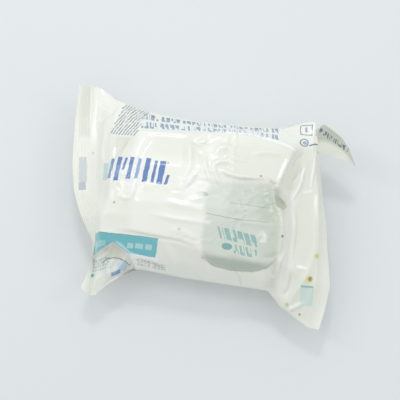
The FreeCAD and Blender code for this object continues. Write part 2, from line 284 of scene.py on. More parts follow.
class FilterWrapColours(bpy.types.PropertyGroup):
    """Colours of the film and of its inks, and of its painted highlight and painted shade."""
    film: colour("Film", "Colour of the film where it is thin", "#F0F3EC")
    film_thick: colour("Film, warmer", "Colour of the film where it is thicker", "#F4F5EB")
    # Painted highlight on facets and ridges, partly film stretched whiter at hard creases
    painted_highlight: colour("Whitened crease", "Film stretched white along a hard ridge", "#FFFFFF")
    # Painted shade along valleys
    painted_valley_shade: colour("Dull crease", "Fine dirt along a valley", "#8D9384")
    fine_print: colour("Fine print", "Ink of the rows of fine print", "#64809F")
    strokes: colour("Blue strokes", "Ink of the large strokes at the left", "#4474BC")
    label: colour("Label", "Teal label across the lower left", "#6AC1CC")
    blocks: colour("Grey-green blocks", "Main tone of the overlapping blocks", "#CFD8CE")
    blocks_shade: colour("Grey-green shade", "Darker tone of the overlapping blocks", "#AAB8AA")
    # Painted shade on the folded corner
    corner: colour("Folded corner", "Dull inner side of the folded corner", "#A6AD9A")


class FilterWrapStage(bpy.types.PropertyGroup):
    """Floor, light and camera."""
    floor: colour("Floor", "Pale paper under the object", "#E6EAEC")
    room: colour("Room", "Colour of the soft light from the room", "#FAFCFC")
    room_level: FloatProperty(
        name="Room level", description="Strength of the light from the side of the room",
        default=0.58, min=0.0, max=2.0)
    key_power: FloatProperty(
        name="Key light", description="Power of the key softbox; the strips follow it",
        default=1.1, min=0.0, max=10.0, unit="POWER")
    distance: length("Camera distance", "From the camera to the object", 778, 300, 3000)
    picture_width: length(
        "Picture width", "Width of the scene in the picture at that distance", 280, 100, 1000)


def select(*pieces):
    """Selects these pieces alone, the first of them active."""
    if bpy.context.object and bpy.context.object.mode != "OBJECT":
        bpy.ops.object.mode_set(mode="OBJECT")
    bpy.ops.object.select_all(action="DESELECT")
    for piece in pieces:
        piece.select_set(True)
        bpy.context.view_layer.objects.active = pieces[0]


def fine_net(lines, columns, rows, soften):
    """A fine grid of points from a few guide lines, softened a little at each fold."""
    net = np.array(lines, float)
    for axis, steps in ((1, columns), (0, rows)):
        marks = np.concatenate([i + np.arange(n) / n for i, n in enumerate(steps)] + [[len(steps)]])
        low = np.minimum(marks.astype(int), len(steps) - 1)
        share = (marks - low).reshape((-1, 1, 1) if axis == 0 else (1, -1, 1))
        net = np.take(net, low, axis) * (1 - share) + np.take(net, low + 1, axis) * share
    for _ in range(soften):
        net[:, 1:-1] = (net[:, :-2] + 2 * net[:, 1:-1] + net[:, 2:]) / 4
        net[1:-1] = (net[:-2] + 2 * net[1:-1] + net[2:]) / 4
    return net


def ramp(value, low, high):
    return np.clip((value - low) / (high - low), 0, 1)


def soft(value, low, high):
    share = ramp(value, low, high)
    return share * share * (3 - 2 * share)


def crease(x, y, line_width, points, height, left, right):
    """Height of a crease over a grid, with its own width on each side, and its sharp line."""
    best = np.full(x.shape, np.inf)
    width = np.full(x.shape, left)
    fade = np.zeros(x.shape)
    parts = len(points) - 1
    for i, ((ax, ay), (bx, by)) in enumerate(zip(points, points[1:])):
        dx, dy = bx - ax, by - ay
        share = np.clip(((x - ax) * dx + (y - ay) * dy) / (dx * dx + dy * dy), 0, 1)
        away = np.hypot(x - ax - share * dx, y - ay - share * dy)
        nearer = away < best
        side = (x - ax) * dy - (y - ay) * dx
        along = (i + share) / parts
        best = np.where(nearer, away, best)
        width = np.where(nearer, np.where(side > 0, right, left), width)
        fade = np.where(nearer, np.minimum(1, CREASE_END + 4.5 * along * (1 - along)), fade)
    line = np.clip(1 - best / line_width, 0, 1) * fade * height / FULL_RIDGE
    return height * np.clip(1 - best / width, 0, 1) ** 1.15 * fade, np.clip(line, -1, 1)


def beyond(x, y, start, end):
    """Distance to the right of a line, in millimetres."""
    dx, dy = end[0] - start[0], end[1] - start[1]
    return ((x - start[0]) * dy - (y - start[1]) * dx) / math.hypot(dx, dy)


def wrap_sheets(sizes):
    """Points of the wrap's front and back in millimetres, their places on the film, and marks."""
    net = fine_net(GUIDES, COLUMNS, ROWS, 3)
    # The body of the wrap bends evenly from its left shoulder to its right one
    body = net[:, sum(COLUMNS[:3]) + 10:sum(COLUMNS[:-3]) - 10]
    for _ in range(BODY_SMOOTHING):
        body[:, 1:-1] = (body[:, :-2] + 2 * body[:, 1:-1] + body[:, 2:]) / 4
    x, y, z = net[..., 0], net[..., 1], net[..., 2]
    low, high = net[:1], net[-1:]
    rows, columns = x.shape
    row = np.arange(rows)[:, None] * np.ones((1, columns))
    column = np.ones((rows, 1)) * np.arange(columns)[None]
    from_side = np.minimum(row, rows - 1 - row)
    opening = ramp(x, *LEFT_OPENS) * (1 - ramp(x, *RIGHT_OPENS))
    across = np.clip(abs(2 * (y - low[..., 1]) / (high[..., 1] - low[..., 1]) - 1), 0, 1)

    # The film leaves its two sides steeply and rounds over into the front
    front = z.copy()
    for first, fold, edge in ((0, ROWS[0], low), (rows - 1, rows - 1 - ROWS[-1], high)):
        share = np.clip(abs(row - first) / abs(fold - first), 0, 1)
        rise = net[fold:fold + 1, :, 2] - edge[..., 2]
        front += opening * rise * (share**SIDE_ROUNDNESS - share)
    tuck = np.minimum.reduce([beyond(x, y, *edge) for edge in zip(TUCK, TUCK[1:])])
    front -= sizes.tuck_depth / MM * soft(tuck, *TUCK_LIP) * (
        1 - (1 - TUCK_FAR_SHARE) * ramp(tuck, *TUCK_SHALLOWS))

    side = from_side == 0
    middle = low[..., 2] + (high[..., 2] - low[..., 2]) * row / (rows - 1)
    back = middle - BACK_DEPTH * opening * np.sqrt(1 - across**BACK_SQUARENESS)
    # The long seal stands out of the back, and beside it the back lifts a little off the shelf
    outside = np.maximum(SEAL_ROWS[0] - row, row - SEAL_ROWS[1])
    back = np.maximum(0.0, back - np.where(outside <= 0, sizes.seal_step / MM, 0))
    lift = sizes.seal_groove / MM * opening * np.clip(1 - (outside - 1) / GROOVE_ROWS, 0, 1)
    back += np.where(outside > 0, lift, 0)
    back = np.minimum(front - FILM_GAP * np.minimum(1, from_side / 2), back)
    front, back = np.where(side, z, front), np.where(side, z, back)

    # Crimp ribs run along each end seal
    ribs = np.zeros(x.shape)
    left_seal, right_seal = COLUMNS[0], columns - 1 - COLUMNS[-1]
    for start, count, shown in ((0, left_seal, RIBS_LEFT), (right_seal, COLUMNS[-1], RIBS_RIGHT)):
        share = (column - start) / count
        depth = shown * sizes.rib_height / MM / 2
        ribs += np.where((share > 0) & (share < 1), depth * np.sin(share * sizes.crimp_ribs * 2 * math.pi), 0)
    made = [crease(x, y, sizes.crease_line / MM, *line[1:]) for line in CREASES]
    heights = sum(height for height, _ in made) * np.minimum(1, from_side / 4)
    lines = np.clip(sum(line for _, line in made), -1, 1)
    made = [crease(x, row, 1.0, *line[1:]) for line in BACK_CREASES]
    back_heights = sum(height for height, _ in made) * np.minimum(1, from_side / 3)

    # The simulation moves the film freely between its sides and seals
    free = (np.minimum(1, from_side / 6) * ramp(column, left_seal, left_seal + 10)
            * (1 - ramp(column, right_seal - 16, right_seal)))
    # It moves less on the lower face, on the left of the ledge and over the hanging panel
    calm = soft(-y, 24, 38) + soft(-y, -4, 3) * (1 - soft(-y, 20, 28)) * (1 - ramp(x, -10, 20))
    free *= (1 - 0.5 * ramp(x, 48, 60)) * (1 - 0.55 * np.minimum(1, calm))
    # The upper front is drawn smooth, but for the arcs in its middle
    arcs = soft(x, -18, -8) * (1 - soft(x, 16, 24))
    free *= 1 - 0.72 * soft(y, 10, 20) * (1 - soft(y, 46, 52)) * (1 - arcs)
    sheets = [np.dstack([x, y, face]) for face in (front, back)]
    marks = {"tuck": tuck, "free": free, "heights": heights, "back_heights": back_heights,
             "ribs": ribs, "lines": lines}
    return sheets, film_lengths(net), marks


def film_lengths(sheet):
    """Millimetres along the tube and around it at each point of a sheet, as on the flat film.

    Around the tube they are counted from a row near the middle, where they are its y.
    """
    around = np.linalg.norm(np.diff(sheet[..., 1:], axis=0), axis=2)
    around = np.vstack([np.zeros((1, sheet.shape[1])), np.cumsum(around, 0)])
    middle = int(sheet.shape[0] * 0.45)
    return sheet[..., 0], around - around[middle:middle + 1] + sheet[middle:middle + 1, :, 1]


def add_sheet(name, points, film, **marks):
    """A grid of faces whose vertices are moved to the given points, in millimetres."""
    rows, columns = points.shape[:2]
    select()
    bpy.ops.mesh.primitive_grid_add(
        x_subdivisions=columns - 1, y_subdivisions=rows - 1, size=1, calc_uvs=True)
    piece = bpy.context.object
    piece.name = piece.data.name = name
    mesh = piece.data
    mesh.vertices.foreach_set("co", (points * MM).ravel())
    corners = np.empty(len(mesh.loops), int)
    mesh.loops.foreach_get("vertex_index", corners)
    lengths = np.stack([film[0].ravel(), film[1].ravel()], 1) / UV_UNIT
    mesh.uv_layers[0].name = "film"
    mesh.uv_layers["film"].data.foreach_set("uv", lengths[corners].astype(np.float32).ravel())
    for mark, values in marks.items():
        layer = mesh.attributes.new(mark, "FLOAT", "POINT")
        layer.data.foreach_set("value", values.astype(np.float32).ravel())
    mesh.update()
    return piece


def vertex_places(piece):
    places = np.empty(len(piece.data.vertices) * 3)
    piece.data.vertices.foreach_get("co", places)
    return places.reshape(-1, 3) / MM


def outward(points):
    """Directions that point out of the back at each of its points."""
    across = np.cross(np.gradient(points, axis=0), np.gradient(points, axis=1))
    return across / np.maximum(np.linalg.norm(across, axis=2, keepdims=True), 1e-9)


def settle(piece, free, growth, most_moved):
    """Lets the film grow a little, with its seals held, so that it buckles into crumples."""
    start = vertex_places(piece)
    hold = np.round((1 - FREEDOM * free.ravel()) * HOLD_LEVELS) / HOLD_LEVELS
    group = piece.vertex_groups.new(name="hold")
    for level in np.unique(hold):
        group.add(np.nonzero(hold == level)[0].tolist(), float(level), "REPLACE")
    select(piece)
    bpy.ops.object.modifier_add(type="CLOTH")
    cloth = piece.modifiers[-1]
    film = cloth.settings
    film.quality = 6
    film.mass = 0.1
    film.tension_stiffness = film.compression_stiffness = 40
    film.shear_stiffness = 20
    film.bending_stiffness = 8
    film.tension_damping = film.compression_damping = film.shear_damping = 15
    film.bending_damping = 2
    film.air_damping = 4
    film.effector_weights.gravity = 0
    film.vertex_group_mass = group.name
    film.shrink_min = -growth
    cloth.collision_settings.use_collision = False
    for step in range(1, SETTLE_STEPS + 1):
        bpy.context.scene.frame_set(step)
    bpy.ops.object.modifier_apply(modifier=cloth.name)
    bpy.context.scene.frame_set(1)
    piece.vertex_groups.clear()
    moved = vertex_places(piece) - start
    length = np.linalg.norm(moved, axis=1, keepdims=True)
    return moved * np.minimum(1, most_moved / np.maximum(length, 1e-9))


def flip(piece):
    select(piece)
    bpy.ops.object.mode_set(mode="EDIT")
    bpy.ops.mesh.select_all(action="SELECT")
    bpy.ops.mesh.flip_normals()
    bpy.ops.object.mode_set(mode="OBJECT")


def weld(pieces, name):
    """Joins sheets into one piece along the points that they share."""
    select(*pieces)
    bpy.ops.object.join()
    piece = bpy.context.object
    piece.name = piece.data.name = name
    bpy.ops.object.mode_set(mode="EDIT")
    bpy.ops.mesh.select_all(action="SELECT")
    bpy.ops.mesh.remove_doubles(threshold=0.02 * MM)
    bpy.ops.mesh.normals_make_consistent(inside=False)
    bpy.ops.object.mode_set(mode="OBJECT")
    bpy.ops.object.shade_smooth_by_angle(angle=math.radians(60))
    return piece


def node(tree, kind, settings=None, *values, **links):
    """One shader node, its settings or its operation, and its links.

    Values go to its inputs in order, and links to inputs by name, or by number after an i.
    Each is a node, a socket or a plain value.
    """
    made = tree.nodes.new("ShaderNode" + kind)
    if isinstance(settings, str):
        settings = {"operation": settings}
    for key, value in (settings or {}).items():
        setattr(made, key, value)
    links.update({f"i{i}": value for i, value in enumerate(values)})
    for key, value in links.items():
        numbered = key[0] == "i" and key[1:].isdigit()
        socket = made.inputs[int(key[1:]) if numbered else key.replace("_", " ")]
        if isinstance(value, bpy.types.Node):
            value = value.outputs[0]
        if isinstance(value, bpy.types.NodeSocket):
            tree.links.new(value, socket)
        else:
            socket.default_value = value
    return made


class FilmPrint:
    """The colour of the printed film, to which shapes are added one over another.

    Places are in millimetres along the tube and around it. Each shape takes its ink, the ink's
    strength and the millimetres over which its edge fades.
    """

    def __init__(self, tree, ground):
        self.tree = tree
        self.colour = ground
        flat = node(tree, "UVMap", {"uv_map": "film"})
        scaled = node(tree, "VectorMath", "SCALE", flat, Scale=UV_UNIT)
        # Edges of the print waver by up to 0.6 mm with the small crumples
        waver = node(tree, "TexNoise", Vector=scaled, Scale=0.25, Detail=2.0)
        centred = node(tree, "VectorMath", "SUBTRACT", waver.outputs["Color"], (0.5, 0.5, 0.5))
        self.film = node(tree, "VectorMath", "MULTIPLY_ADD", centred, (1.2, 1.2, 0.0), scaled)
        tuck = node(tree, "Attribute", {"attribute_name": "tuck"})
        tucked = self.edge(tuck.outputs["Fac"], 0.6)
        self.places = {"tucked": tucked, "outside": node(tree, "Math", "SUBTRACT", 1.0, tucked)}

    def add(self, mask, ink, strength, where=None):
        cover = node(self.tree, "Math", {"operation": "MULTIPLY", "use_clamp": True}, mask, strength)
        if where:
            cover = node(self.tree, "Math", "MULTIPLY", cover, self.places[where])
        ink = linear(ink) if isinstance(ink, str) else tuple(ink)
        mix = node(self.tree, "Mix", {"data_type": "RGBA"}, cover, i6=self.colour, i7=ink)
        self.colour = mix.outputs[2]

    def shares(self, corner, right, foot):
        """How far across and down a four-sided shape a point lies, from 0 to 1, and its sides."""
        across, down = Vector(right) - Vector(corner), Vector(foot) - Vector(corner)
        area = across.x * down.y - across.y * down.x
        local = node(self.tree, "VectorMath", "SUBTRACT", self.film, (*corner, 0))
        dots = [node(self.tree, "VectorMath", "DOT_PRODUCT", local, (x / area, y / area, 0))
                for x, y in ((down.y, -down.x), (-across.y, across.x))]
        return *[dot.outputs["Value"] for dot in dots], across.length, down.length

    def within(self, s, t, wide, high):
        """Millimetres inwards from the nearest side of a four-sided shape."""
        depths = []
        for share, length in ((s, wide), (t, high)):
            rest = node(self.tree, "Math", "SUBTRACT", 1.0, share)
            nearer = node(self.tree, "Math", "MINIMUM", share, rest)
            depths.append(node(self.tree, "Math", "MULTIPLY", nearer, length))
        return node(self.tree, "Math", "MINIMUM", *depths)

    def edge(self, distance, softness=0.35):
        return node(self.tree, "Math", {"operation": "MULTIPLY_ADD", "use_clamp": True},
                    distance, 1 / softness, 0.5)

    def fill(self, depth, ink, strength, softness, rim, where):
        """Colours a shape, or only a rim of it, by how deep inside it a point lies."""
        mask = self.edge(depth, softness)
        if rim:
            inner = node(self.tree, "Math", "SUBTRACT", rim, depth)
            mask = node(self.tree, "Math", "MULTIPLY", mask, self.edge(inner, softness))
        self.add(mask, ink, strength, where)

    def box(self, corner, right, foot, ink, strength=1.0, softness=0.35, rim=None, where=None):
        depth = self.within(*self.shares(corner, right, foot))
        self.fill(depth, ink, strength, softness, rim, where)

    def disc(self, centre, radius, ink, strength=1.0, softness=0.35, rim=None, squash=(1, 1), where=None):
        local = node(self.tree, "VectorMath", "SUBTRACT", self.film, (*centre, 0))
        shaped = node(self.tree, "VectorMath", "MULTIPLY", local, (1 / squash[0], 1 / squash[1], 0))
        away = node(self.tree, "VectorMath", "LENGTH", shaped)
        depth = node(self.tree, "Math", "SUBTRACT", radius, away.outputs["Value"])
        self.fill(depth, ink, strength, softness, rim, where)

    def patch(self, points, ink, strength=1.0, softness=0.35):
        """A filled convex shape, its corners given clockwise."""
        depth = None
        for start, end in zip(points, [*points[1:], points[0]]):
            across = Vector((end[1] - start[1], start[0] - end[0])).normalized()
            dot = node(self.tree, "VectorMath", "DOT_PRODUCT", self.film, (*across, 0))
            inside = node(self.tree, "Math", "SUBTRACT", dot.outputs["Value"], across.dot(Vector(start)))
            depth = node(self.tree, "Math", "MINIMUM", depth, inside) if depth else inside
        self.fill(depth, ink, strength, softness, None, None)

    def path(self, points, width, ink, strength=1.0, softness=0.35):
        for start, end in zip(points, points[1:]):
            self.line(start, end, width, ink, strength, softness)

    def line(self, start, end, width, ink, strength=1.0, softness=0.35):
        along = Vector(end) - Vector(start)
        side = Vector((-along.y, along.x)).normalized() * width
        corner = Vector(start) + side / 2
        self.box(tuple(corner), tuple(corner + along), tuple(corner - side), ink, strength, softness)

    def small_print(self, corner, right, foot, rows, letter, word, ink, strength, seed,
                    bits=(3, 2), blank=0.3):
        """Rows of broken dashes that say nothing, a few millimetres wide."""
        tree = self.tree
        s, t, wide, high = self.shares(corner, right, foot)
        mask = self.edge(self.within(s, t, wide, high))
        x, row = node(tree, "Math", "MULTIPLY", s, wide), node(tree, "Math", "MULTIPLY", t, rows)
        down = node(tree, "Math", "FRACT", row)
        leaning = node(tree, "Math", "MULTIPLY_ADD", down, -0.35 * letter, x)
        bit = node(tree, "Math", "MULTIPLY", leaning, bits[0] / letter)
        level = node(tree, "Math", "MULTIPLY", row, bits[1])
        cell = node(tree, "CombineXYZ", X=node(tree, "Math", "FLOOR", bit),
                    Y=node(tree, "Math", "FLOOR", level), Z=seed)
        chance = node(tree, "TexWhiteNoise", {"noise_dimensions": "3D"}, Vector=cell)
        # Blanks between the letters' places, between rows and between groups
        letters = node(tree, "Math", "FRACT", node(tree, "Math", "DIVIDE", leaning, letter))
        groups = node(tree, "Math", "FRACT", node(tree, "Math", "DIVIDE", x, word))
        for value, limit in ((letters, 0.78), (down, 0.74), (groups, 0.86)):
            mask = node(tree, "Math", "MULTIPLY", mask, node(tree, "Math", "LESS_THAN", value, limit))
        inked = node(tree, "Math", "GREATER_THAN", chance.outputs["Value"], blank)
        self.add(node(tree, "Math", "MULTIPLY", mask, inked), ink, strength)


def film_material(colours):
    """Pearl-white wrapping film, printed in reverse under a thin clear gloss."""
    mat = bpy.data.materials.new(FILM_NAME)
    mat.use_nodes = True
    tree = mat.node_tree
    tree.nodes.clear()
    place = node(tree, "TexCoord").outputs["Object"]

    # The voided white core is a little uneven, warmer in patches some 35 mm wide
    cloud = node(tree, "TexNoise", Vector=place, Scale=28.0, Detail=3.0)
    core = node(tree, "Mix", {"data_type": "RGBA"}, cloud,
                i6=tuple(colours.film), i7=tuple(colours.film_thick))
    film = FilmPrint(tree, core.outputs[2])

    # Overlapping grey-green blocks with rounded feet
    foot = [(52, -34), (46, -42), (36, -47), (22, -49), (10, -47), (2, -41), (0, -31)]
    for points, ink, strength, softness in (
        ([(-1, 3), (3, 11.5), (43, 17), (49.5, 13), (50, -11), (0, -10)], "#D4DCD3", 0.68, 4),
        ([(14, 12), (44, 16), (50, 13), (50, -11), (14, -12)], "#C4CEC0", 0.36, 8),
        ([(36, 14), (50, 13), (53, -36), (40, -40)], "#B6BFAC", 0.42, 7),
        ([(0, -16), (2, -10), (50, -10.5), *foot], colours.blocks, 0.74, 3),
        ([(3, -34), (23, -37), (46, -34), *foot[1:-1]], colours.blocks_shade, 0.66, 4),
    ):
        film.patch(points, ink, strength, softness)
    film.path(foot[:-1], 1.3, "#93A395", 0.5, 0.8)
    film.path([(1, -9.4), (24.6, -11.5), (45, -10.2)], 0.8, "#A4B1A4", 0.6)
    film.line((16, -0.8), (45, -0.6), 0.7, "#ABB7AB", 0.5)
    # Painted highlight on a small triangular facet
    film.patch([(38.3, -24.6), (41.6, -18), (43.2, -19.9), (43.7, -24.6)], "#F3F5EE", 0.8)
    film.small_print((9.3, -17.4), (36.5, -20.6), (12, -28), 1, 4.6, 40, "#4FAAA6", 0.6, 3)
    film.disc((17.5, -30.5), 2.8, "#45A19C", 0.75, squash=(1.3, 0.8))
    film.small_print((21, -28.2), (38, -30), (21.8, -36.5), 1, 4.6, 40, "#4FAAA6", 0.6, 4)
    film.disc((-3, 3.2), 2.4, "#98A69D", 0.7, 0.8, squash=(1.7, 0.7))
    # Olive over the gather: partly the print's dark tone, partly painted shade of its pocket
    film.patch([(44.7, 12.2), (48.6, 14.2), (54.5, 6), (57.9, 4.6), (54, -0.3), (48.9, 0.9)],
               "#A4AD93", 0.72, 0.6)

    # Painted shade over the hanging right panel, beside the blocks, on the left shoulder, over the upper
    # front and in the tuck
    film.box((54, 44), (84, 44), (54, -76), "#C9CEBD", 0.3, 9)
    # Painted light over the shaded fold band
    film.patch([(46.5, 14.5), (61.3, 42.9), (73.1, 46.2), (57.5, 16.4)], "#F2F1E2", 0.55, 1)
    film.patch([(48, 8), (55, 8), (56, -60), (48, -60)], "#C3C6B4", 0.4, 7)
    # Painted light on a strip by the panel's inner valley
    film.patch([(56, 12), (62, 12), (65, -62), (54, -62)], "#FAFAF4", 0.5, 5)
    film.box((-42, 46), (-4, 46), (-42, 26), "#DAD8CD", 0.3, 9)
    film.patch([(-68.7, 39.5), (-54.2, 39.8), (-66.3, 19)], "#CBCBBE", 0.35, 2)
    film.box((-68, 42), (-50, 42), (-68, -24), "#D5D4C8", 0.2, 7)
    film.box((4, 44), (54, 44), (4, 12), "#D9D6CB", 0.28, 10)
    film.box((-76, -48), (-48, -48), (-76, -72), "#CBD0CA", 0.45, 5, where="tucked")

    # Painted highlights on four facets, along the panel's ridges and on the ledge; along the ridges they
    # stand partly for film stretched whiter at its creases
    for points, softness in (
        ([(-59, 8), (-48, 7), (-51, -4), (-58, -4.5)], 3),
        ([(-49.5, 42), (-44, 40), (-52, 20), (-57, 22)], 5),
        ([(-5, 21), (-1, 1), (-12, -3), (-18, 7)], 5),
        ([(72.4, 43), (65.5, 31), (59, 8.5), (72, 12)], 2),
    ):
        film.patch(points, "#FAFCF8", 0.7, softness)
    for points, width, strength in (
        ([(72.7, 44.8), (72.8, 36.3), (72.2, 27.8), (71.5, 19.3)], 1.2, 1.0),
        ([(65.5, 31.1), (64.9, 22.6), (62.8, 15.3), (59.2, 8.7)], 1.0, 0.9),
        ([(67.2, 14.4), (72.6, 16.2)], 1.5, 0.8),
        ([(67.5, -36.8), (73.9, -37.3)], 1.7, 0.9),
    ):
        film.path(points, width, colours.painted_highlight, strength, 1.1)
    for points, softness in (
        ([(-25, -2.6), (-12, -2.2), (-2, -4.2), (-2.5, -7.6), (-14, -6.2)], 1.8),
        ([(-28, -13.2), (-14, -13.6), (5, -14.2), (4, -16.6), (-12, -16.2)], 1.6),
    ):
        film.patch(points, colours.painted_highlight, 0.6, softness)

    # Fine print along the top: two rows on the body, and a block of slanting lines at the left end
    film.small_print((-51.5, 66.5), (-5, 69), (-51.5, 46), 2, 3.6, 15, colours.fine_print, 0.92, 11)
    film.small_print((-4, 69), (45.5, 68), (-4, 47), 2, 3.6, 15, colours.fine_print, 0.88, 17)
    left, right, lean, line_lean, base, high = -70.5, -52.5, 7, 15, 41, 29.5
    for i in range(12):
        x = -77 + 2.1 * i
        # Each line leans more than the block does, and is cut off at the block's sides
        ends = max(0, (left - x) / (line_lean - lean)), min(1, (right - x) / (line_lean - lean))
        start, end = [(x + line_lean * share, base + high * share) for share in ends]
        film.line(start, end, 1.1, "#5F7487", 0.62)
    film.small_print((-70.5, 41), (-63.5, 70.5), (-52.5, 42), 12, 3.0, 9, "#EFF2EE", 0.6, 23, (2, 1), 0.6)
    film.box((-51.5, 64), (45, 65), (-51.5, 47), "#DCE8F2", 0.25, 1.5)
    # Painted highlight along the top ridge, partly film stretched whiter at its crease
    film.path([(8, 50), (26.1, 51.3), (33.8, 50), (43.8, 46.9), (51.6, 44.9), (58, 42.1)], 1.6,
              colours.painted_highlight, 0.8, 1.1)

    # A row of plain blue strokes
    for left, right, top, foot, ink in (
        (-68.5, -66.3, 22.5, 9, "#5480B8"),
        (-64.2, -61.2, 24.5, 7.5, colours.strokes),
        (-59.2, -57.4, 24, 15, colours.strokes),
        (-55.6, -52.8, 24.5, 9, colours.strokes),
        (-49.8, -47.6, 24, 9.5, "#86A5D8"),
        (-44.6, -41.2, 24.5, 7.5, "#3F70BA"),
        (-38.6, -36.4, 23.5, 7.5, "#3F70BA"),
        (-34.6, -30.8, 23.5, 7, "#3F70BA"),
        (-29.4, -27.4, 14, 7, colours.strokes),
    ):
        film.box((left + 1.6, top), (right + 1.6, top), (left, foot), ink, 0.92)
    film.box((-72.5, 20), (-69, 19.5), (-72, 8), "#A5D5DA", 0.65)

    # Plain teal label with a pale broken stripe, cut by the tuck
    film.box((-73.5, -28.3), (-29.3, -30.2), (-74.3, -45), colours.label, 0.95, where="outside")
    film.path([(-73.5, -28.6), (-29.3, -30.5)], 0.8, "#4C9FA8", 0.5)
    for left, right in ((-50, -46), (-44.5, -39), (-37.5, -33)):
        film.box((left, -35.8), (right, -36), (left, -40), "#CBE9EB", 0.7, where="outside")
    film.box((-72, -34), (-65, -35), (-72.3, -38.5), "#BCE2E5", 0.55, where="outside")
    film.box((-49, -45.2), (-28, -46.2), (-48.5, -49.5), "#FFFFFF", 0.8, where="outside")

    # Painted shade at the tuck's apex, and broken rows and plain shapes inside the tuck and below the label
    film.disc((-60, -41), 7.5, "#CBD1B4", 0.5, 6, where="tucked")
    film.small_print((-74.5, -45.6), (-61, -48), (-74, -55), 4, 1.8, 30, "#7FAAA6", 0.55, 41)
    film.small_print((-43, -51.5), (-22, -54.5), (-42.5, -60.5), 3, 2.4, 11, "#7D9A98", 0.55, 43)
    film.path([(-66.6, -51), (-63.8, -49.2), (-59.5, -48), (-54.8, -48.4), (-50.4, -52.3), (-47.5, -57)],
              0.8, "#48639F", 0.8)
    film.patch([(-57, -59.4), (-56, -53), (-52, -52), (-49.4, -55.5), (-50.5, -60.4)],
               "#A5CFE8", 0.7, 0.8)
    film.box((-60, -60), (-54, -58.5), (-59.5, -63), "#4F7CC0", 0.8)
    film.disc((-73.3, -57), 1.2, "#58B48F", 0.9)

    # Small plain marks at the right end of the top side, and painted shade on the folded corner
    film.box((60.8, 65), (69.5, 64), (61, 56.5), "#566A96", 0.8, rim=0.7)
    film.box((64.3, 62.5), (65.9, 62.4), (64.3, 58.5), "#566A96", 0.6)
    film.disc((64, 49.8), 3.3, "#41609C", 0.8, rim=0.9)
    film.disc((64.5, 49.6), 1.5, "#6C9ED2", 0.75)
    film.line((67.8, 47.8), (74, 50.6), 0.9, "#3C4F77", 0.8)
    corner = node(tree, "Attribute", {"attribute_name": "corner"})
    film.add(corner.outputs["Fac"], colours.corner, 0.8)
    film.small_print((74.5, 62), (96, 50.5), (73, 57.5), 1, 3.2, 12, "#3A4F77", 0.8, 53)

    # Pale teal block low on the hanging panel
    film.box((71.8, -50), (80.8, -49.4), (72.5, -64), "#BBDCD6", 0.6, 0.8)
    film.line((71.8, -50.4), (80.8, -49.8), 1.4, "#7DB9B2", 0.8)

    # Registration mark on the left end seal, and a faint grey-green over the upper part of the left crimp
    # band
    film.box((-96, 77), (-87, 77), (-94, 40), "#DDE1D6", 0.6, 3)
    film.box((-91.8, 24.8), (-86.2, 25.2), (-89.9, 7.2), "#CBD4DA", 0.8)
    film.box((-89.9, 7.2), (-84.9, 7.6), (-89.2, 1.6), "#B7C0CF", 0.85)

    # Stains and specks that the film has picked up
    for centre, radius, ink, strength, softness in (
        ((80.5, -28), 1.6, "#C6CB55", 0.75, 1.6),
        ((76.5, -44.6), 2.6, "#E0D98A", 0.7, 2.6),
        ((77.6, -44.3), 1.5, "#A07E2A", 0.9, 1.2),
        ((63.8, -65), 1.1, "#A9B46C", 0.65, 1.4),
        ((-15.9, -22.1), 1.2, "#C9C987", 0.6, 1.4),
        ((54.6, -18.3), 0.9, "#4A4A34", 0.85, 0.9),
        ((35.7, 20.5), 0.6, "#3E3E34", 0.8, 0.7),
        ((-28.1, 22.3), 0.7, "#7A7A70", 0.6, 0.8),
        ((-61.8, -7.5), 0.8, "#7C7C70", 0.6, 0.9),
        ((73.5, -70.5), 0.9, "#6C6F58", 0.65, 1.0),
        ((-82.2, 28.4), 0.8, "#B9A79F", 0.5, 1.2),
    ):
        film.disc(centre, radius, ink, strength, softness)

    # Painted highlight along each ridge, partly film stretched whiter at the fold, and painted shade along
    # each valley
    sharp = node(tree, "Attribute", {"attribute_name": "lines"}).outputs["Fac"]
    film.add(sharp, colours.painted_highlight, 0.5)
    film.add(node(tree, "Math", "MULTIPLY", sharp, -1.0), colours.painted_valley_shade, 0.35)

    # Small hard crumples of stiff film: bent cells, some 16 mm and some 7 mm wide
    bend = node(tree, "TexNoise", Vector=place, Scale=45.0, Detail=2.0)
    warp = node(tree, "VectorMath", "MULTIPLY_ADD", bend.outputs["Color"], (0.012, 0.012, 0.012), place)
    height = None
    for scale, depth in ((62.0, 0.9), (150.0, 0.25)):
        cells = node(tree, "TexVoronoi", {"feature": "F1"}, Vector=warp, Scale=scale)
        cells = node(tree, "Math", "MULTIPLY", cells.outputs["Distance"], depth)
        height = node(tree, "Math", "ADD", height, cells) if height else cells
    bump = node(tree, "Bump", Strength=0.12, Distance=0.0012, Height=height)
    shader = node(tree, "BsdfPrincipled", Base_Color=film.colour, Roughness=0.42, IOR=1.5,
                  Coat_Weight=0.75, Coat_Roughness=0.16, Normal=bump)
    node(tree, "OutputMaterial", Surface=shader)
    return mat


def finish_piece(piece):
    """The piece takes the film's material, the film's slot and the body it rides on."""
    mat = bpy.data.materials.get(FILM_NAME)
    if mat is None:
        mat = film_material(bpy.context.scene.filter_wrap_colours)
    piece.data.materials.append(mat)
    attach(piece, "root")


